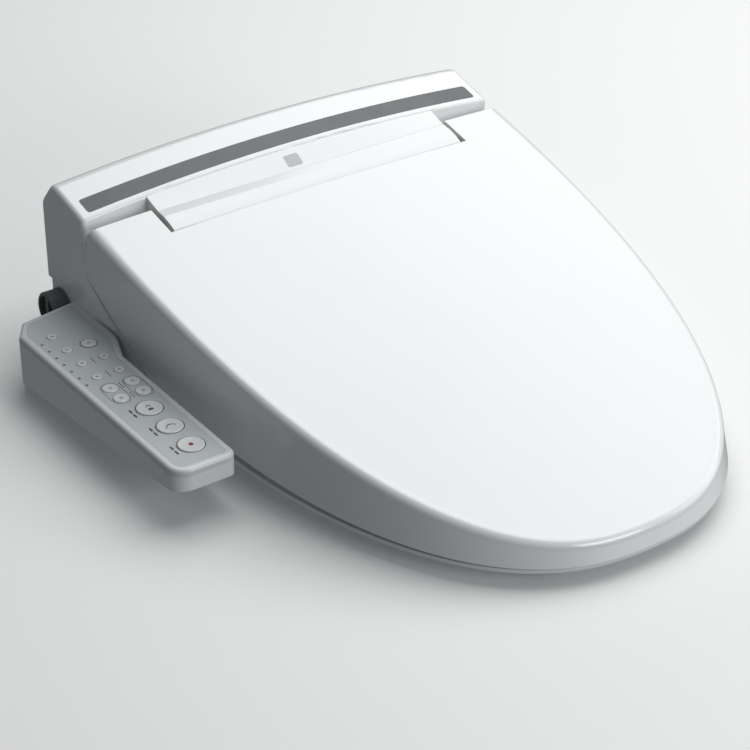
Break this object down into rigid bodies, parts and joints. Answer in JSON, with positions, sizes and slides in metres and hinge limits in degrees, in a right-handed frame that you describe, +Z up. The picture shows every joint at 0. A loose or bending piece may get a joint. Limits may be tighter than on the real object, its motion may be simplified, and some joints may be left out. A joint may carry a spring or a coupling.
{
  "type": "electric bidet seat",
  "caption": "Heated toilet seat and lid hinged on a main unit with washing nozzles, a side control panel, water inlet and bolt-down mounting plate.",
  "frame": {"origin": "midway between the two mounting bolts, on the bowl rim plane", "axes": "+Z up, -Y towards the front tip of the seat, +Y towards the wall, -X towards the control panel"},
  "size_m": [0.454, 0.5253, 0.1516],
  "materials": {
    "white_shell": "gloss",
    "grey_deck": "satin",
    "panel_film": "satin film",
    "dark_trim": "gloss",
    "dark_cap": "satin",
    "sensor_lens": "gloss",
    "light_lens": "gloss",
    "soft_rubber": "matte",
    "circuit_board": "satin",
    "steel_pin": "satin",
    "moulded_part": "satin",
    "brass_fitting": "satin",
    "nozzle_white": "gloss",
    "filter_case": "matte",
    "heater_foil": "satin",
    "button_white": "satin",
    "stop_button_grey": "satin"
  },
  "bodies": {
    "main_unit": {"base_pads": "soft_rubber", "base_shell": "white_shell", "button_mat": "soft_rubber", "case_screws": "steel_pin", "control_board": "circuit_board", "cord_gland": "soft_rubber", "decor_strip": "dark_trim", "deodorizer_filter": "filter_case", "fan_housing": "moulded_part", "fan_motor": "steel_pin", "hinge_pin_left": "steel_pin", "hinge_pin_right": "steel_pin", "inlet_nipple": "brass_fitting", "inlet_valve": "moulded_part", "lid_damper": "moulded_part", "nose_cover": "white_shell", "nozzle_guide": "moulded_part", "panel_board": "circuit_board", "panel_deck": "grey_deck", "panel_lower_case": "white_shell", "panel_overlay": "panel_film", "power_board": "circuit_board", "seat_damper": "moulded_part", "sensor_window": "sensor_lens", "status_lights": "light_lens", "strainer_housing": "dark_cap", "strainer_screen": "steel_pin", "supply_hose": "soft_rubber", "tank_cover": "moulded_part", "tank_heater": "steel_pin", "top_cover": "white_shell", "water_pump": "moulded_part", "water_tank": "moulded_part"},
    "seat": {"seat_upper_shell": "white_shell", "seat_lower_shell": "white_shell", "seat_heater": "heater_foil", "seat_bumpers": "soft_rubber"},
    "lid": {"lid_shell": "white_shell", "lid_bumpers": "soft_rubber"},
    "mounting": {"mounting_plate": "moulded_part"},
    "release": {"release_button": "dark_cap"},
    "cap": {"strainer_cap": "dark_cap", "cap_seal": "soft_rubber"},
    "fan": {"fan_wheel": "moulded_part"},
    "shower_slide": {"shower_nozzle": "nozzle_white"},
    "bidet_slide": {"bidet_nozzle": "nozzle_white"},
    "stop_button_key": {"stop_button": "stop_button_grey"},
    "shower_button_key": {"shower_button": "button_white"},
    "bidet_button_key": {"bidet_button": "button_white"},
    "pressure_down_button_key": {"pressure_down_button": "button_white"},
    "pressure_up_button_key": {"pressure_up_button": "button_white"},
    "position_front_button_key": {"position_front_button": "button_white"},
    "position_back_button_key": {"position_back_button": "button_white"},
    "power_button_key": {"power_button": "button_white"},
    "massage_button_key": {"massage_button": "button_white"},
    "move_button_key": {"move_button": "button_white"},
    "water_heat_button_key": {"water_heat_button": "button_white"},
    "seat_heat_button_key": {"seat_heat_button": "button_white"},
    "energy_saver_button_key": {"energy_saver_button": "button_white"},
    "nozzle_clean_button_key": {"nozzle_clean_button": "button_white"}
  },
  "joints": [
    {"name": "seat_hinge", "type": "hinge", "parent": "main_unit", "child": "seat", "pos_m": [0, -0.0405, 0.1175], "axis": [-1, 0, 0], "range_deg": [0, 104]},
    {"name": "lid_hinge", "type": "hinge", "parent": "seat", "child": "lid", "pos_m": [0, -0.0405, 0.1175], "axis": [1, 0, 0], "range_deg": [-104, 0]},
    {"name": "plate_slide", "type": "slide", "parent": "main_unit", "child": "mounting", "axis": [0, 1, 0], "range_m": [0, 0.06]},
    {"name": "release_press", "type": "slide", "parent": "main_unit", "child": "release", "axis": [-1, 0, 0], "range_m": [0, 0.0015], "stiffness_N_per_m": 600, "springref_m": -0.001},
    {"name": "cap_turn", "type": "hinge", "parent": "main_unit", "child": "cap", "pos_m": [-0.2, 0.0305, 0.036], "axis": [-1, 0, 0], "range_deg": [0, 90]},
    {"name": "fan_spin", "type": "hinge", "parent": "main_unit", "child": "fan", "pos_m": [0.1, -0.002, 0.07], "axis": [0, 0, 1], "continuous": true},
    {"name": "shower_extend", "type": "slide", "parent": "main_unit", "child": "shower_slide", "axis": [0, -0.8829, -0.4695], "range_m": [0, 0.08]},
    {"name": "bidet_extend", "type": "slide", "parent": "main_unit", "child": "bidet_slide", "axis": [0, -0.8829, -0.4695], "range_m": [0, 0.08]},
    {"name": "stop_press", "type": "slide", "parent": "main_unit", "child": "stop_button_key", "axis": [0, 0, -1], "range_m": [0, 0.0008], "stiffness_N_per_m": 600, "springref_m": -0.001},
    {"name": "shower_press", "type": "slide", "parent": "main_unit", "child": "shower_button_key", "axis": [0, 0, -1], "range_m": [0, 0.0008], "stiffness_N_per_m": 600, "springref_m": -0.001},
    {"name": "bidet_press", "type": "slide", "parent": "main_unit", "child": "bidet_button_key", "axis": [0, 0, -1], "range_m": [0, 0.0008], "stiffness_N_per_m": 600, "springref_m": -0.001},
    {"name": "pressure_down_press", "type": "slide", "parent": "main_unit", "child": "pressure_down_button_key", "axis": [0, 0, -1], "range_m": [0, 0.0008], "stiffness_N_per_m": 600, "springref_m": -0.001},
    {"name": "pressure_up_press", "type": "slide", "parent": "main_unit", "child": "pressure_up_button_key", "axis": [0, 0, -1], "range_m": [0, 0.0008], "stiffness_N_per_m": 600, "springref_m": -0.001},
    {"name": "position_front_press", "type": "slide", "parent": "main_unit", "child": "position_front_button_key", "axis": [0, 0, -1], "range_m": [0, 0.0008], "stiffness_N_per_m": 600, "springref_m": -0.001},
    {"name": "position_back_press", "type": "slide", "parent": "main_unit", "child": "position_back_button_key", "axis": [0, 0, -1], "range_m": [0, 0.0008], "stiffness_N_per_m": 600, "springref_m": -0.001},
    {"name": "power_press", "type": "slide", "parent": "main_unit", "child": "power_button_key", "axis": [0, 0, -1], "range_m": [0, 0.0008], "stiffness_N_per_m": 600, "springref_m": -0.001},
    {"name": "massage_press", "type": "slide", "parent": "main_unit", "child": "massage_button_key", "axis": [0, 0, -1], "range_m": [0, 0.0008], "stiffness_N_per_m": 600, "springref_m": -0.001},
    {"name": "move_press", "type": "slide", "parent": "main_unit", "child": "move_button_key", "axis": [0, 0, -1], "range_m": [0, 0.0008], "stiffness_N_per_m": 600, "springref_m": -0.001},
    {"name": "water_heat_press", "type": "slide", "parent": "main_unit", "child": "water_heat_button_key", "axis": [0, 0, -1], "range_m": [0, 0.0008], "stiffness_N_per_m": 600, "springref_m": -0.001},
    {"name": "seat_heat_press", "type": "slide", "parent": "main_unit", "child": "seat_heat_button_key", "axis": [0, 0, -1], "range_m": [0, 0.0008], "stiffness_N_per_m": 600, "springref_m": -0.001},
    {"name": "energy_saver_press", "type": "slide", "parent": "main_unit", "child": "energy_saver_button_key", "axis": [0, 0, -1], "range_m": [0, 0.0008], "stiffness_N_per_m": 600, "springref_m": -0.001},
    {"name": "nozzle_clean_press", "type": "slide", "parent": "main_unit", "child": "nozzle_clean_button_key", "axis": [0, 0, -1], "range_m": [0, 0.0008], "stiffness_N_per_m": 600, "springref_m": -0.001}
  ]
}
